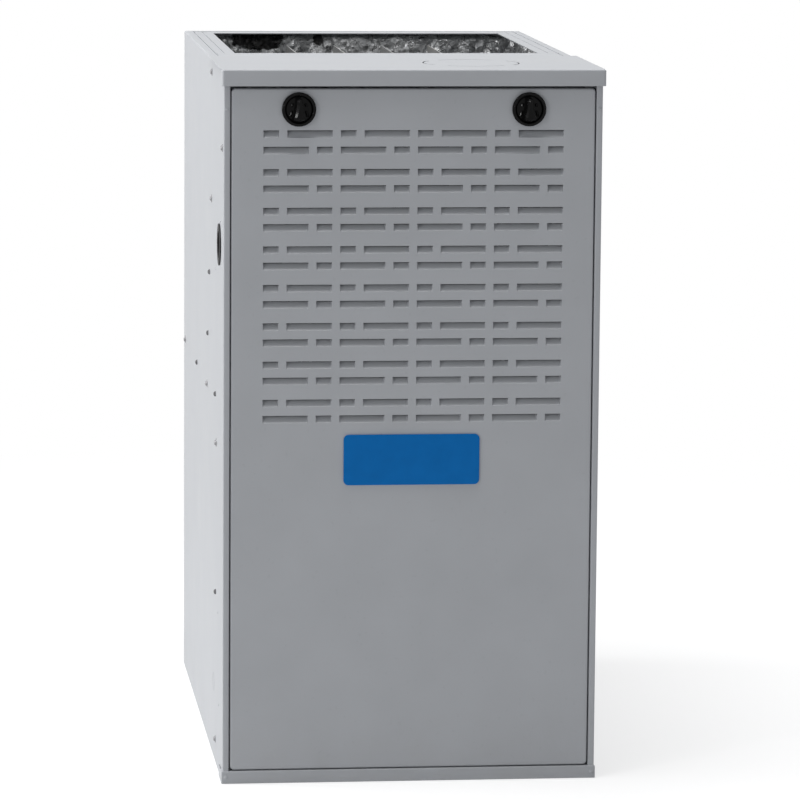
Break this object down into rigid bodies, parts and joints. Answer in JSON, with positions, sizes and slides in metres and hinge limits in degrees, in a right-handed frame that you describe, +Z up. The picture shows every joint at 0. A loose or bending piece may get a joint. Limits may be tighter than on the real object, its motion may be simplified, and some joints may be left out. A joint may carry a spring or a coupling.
{
  "type": "forced air gas furnace",
  "caption": "Upright sheet metal gas furnace with a louvred lift-off door, open supply outlet on top, burners, clamshell heat exchanger, draught inducer and a centrifugal blower below.",
  "frame": {"origin": "centre of the bounding box's footprint, on the floor", "axes": "+X to the right seen from the front, +Y from the door into the depth, +Z up"},
  "size_m": [0.4502, 0.7484, 0.846],
  "materials": {
    "casing_paint": "satin",
    "door_paint": "satin",
    "zinc_sheet": "satin",
    "coated_sheet": "satin",
    "foil_lining": "satin",
    "black_plastic": "gloss",
    "badge_blue": "gloss",
    "brass": "satin",
    "black_steel": "satin",
    "cast_body": "matte",
    "rubber": "matte",
    "ceramic": "matte",
    "circuit_board": "satin",
    "red_plastic": "gloss",
    "matte_black": "matte"
  },
  "bodies": {
    "casing": {"casing_wrapper": "casing_paint", "top_plate": "casing_paint", "bottom_rail": "door_paint", "rail_screw_left": "door_paint", "rail_screw_right": "door_paint", "base_pan": "zinc_sheet", "strike_channel": "zinc_sheet", "blower_deck": "zinc_sheet", "cell_panel": "zinc_sheet", "burner_rack": "zinc_sheet", "flue_collar": "zinc_sheet", "blower_scroll_wrap": "zinc_sheet", "blower_side_left": "zinc_sheet", "blower_side_right": "zinc_sheet", "motor_mount": "zinc_sheet", "blower_access_door": "zinc_sheet", "control_box": "zinc_sheet", "heat_exchanger_cell_1": "coated_sheet", "heat_exchanger_cell_2": "coated_sheet", "heat_exchanger_cell_3": "coated_sheet", "heat_exchanger_cell_4": "coated_sheet", "burner_1": "coated_sheet", "burner_2": "coated_sheet", "burner_3": "coated_sheet", "burner_4": "coated_sheet", "collector_box": "coated_sheet", "inducer_housing": "coated_sheet", "run_capacitor": "coated_sheet", "insulation_left": "foil_lining", "insulation_right": "foil_lining", "insulation_back": "foil_lining", "rollout_switch": "matte_black", "limit_switch": "matte_black", "pressure_switch": "matte_black", "interlock_switch": "matte_black", "orifice_1": "brass", "orifice_2": "brass", "orifice_3": "brass", "orifice_4": "brass", "gas_manifold": "black_steel", "inducer_motor": "black_steel", "blower_motor": "black_steel", "transformer": "black_steel", "gas_valve": "cast_body", "gas_grommet": "rubber", "pressure_hose": "rubber", "wiring_harness": "rubber", "hot_surface_igniter": "ceramic", "flame_sensor": "ceramic", "control_board": "circuit_board"},
    "door": {"outer_door": "door_paint", "badge_plate": "badge_blue"},
    "left_knob": {"knob_left": "black_plastic"},
    "right_knob": {"knob_right": "black_plastic"},
    "blower_rotor": {"blower_wheel": "zinc_sheet", "blower_wheel_plate": "zinc_sheet"},
    "inducer_rotor": {"inducer_wheel": "coated_sheet"},
    "gas_switch": {"gas_valve_switch": "matte_black"},
    "interlock_button": {"interlock_plunger": "red_plastic"},
    "rollout_button": {"rollout_reset_button": "red_plastic"}
  },
  "joints": [
    {"name": "door_lift_off", "type": "slide", "parent": "casing", "child": "door", "axis": [0, -1, 0], "range_m": [0, 0.25]},
    {"name": "left_knob_turn", "type": "hinge", "parent": "door", "child": "left_knob", "pos_m": [-0.135, -0.35875, 0.7997], "axis": [0, -1, 0], "range_deg": [0, 90]},
    {"name": "right_knob_turn", "type": "hinge", "parent": "door", "child": "right_knob", "pos_m": [0.135, -0.35875, 0.7997], "axis": [0, -1, 0], "range_deg": [0, 90]},
    {"name": "blower_spin", "type": "hinge", "parent": "casing", "child": "blower_rotor", "pos_m": [0, 0.03795, 0.225], "axis": [1, 0, 0], "continuous": true},
    {"name": "inducer_spin", "type": "hinge", "parent": "casing", "child": "inducer_rotor", "pos_m": [0.01, -0.24675, 0.7327], "axis": [0, 1, 0], "continuous": true},
    {"name": "gas_switch_turn", "type": "hinge", "parent": "casing", "child": "gas_switch", "pos_m": [-0.162, -0.32275, 0.621], "axis": [0, -1, 0], "range_deg": [0, 90]},
    {"name": "interlock_press", "type": "slide", "parent": "casing", "child": "interlock_button", "axis": [0, 1, 0], "range_m": [0, 0.002], "stiffness_N_per_m": 300},
    {"name": "rollout_press", "type": "slide", "parent": "casing", "child": "rollout_button", "axis": [0, 1, 0], "range_m": [0, 0.0015], "stiffness_N_per_m": 300}
  ]
}
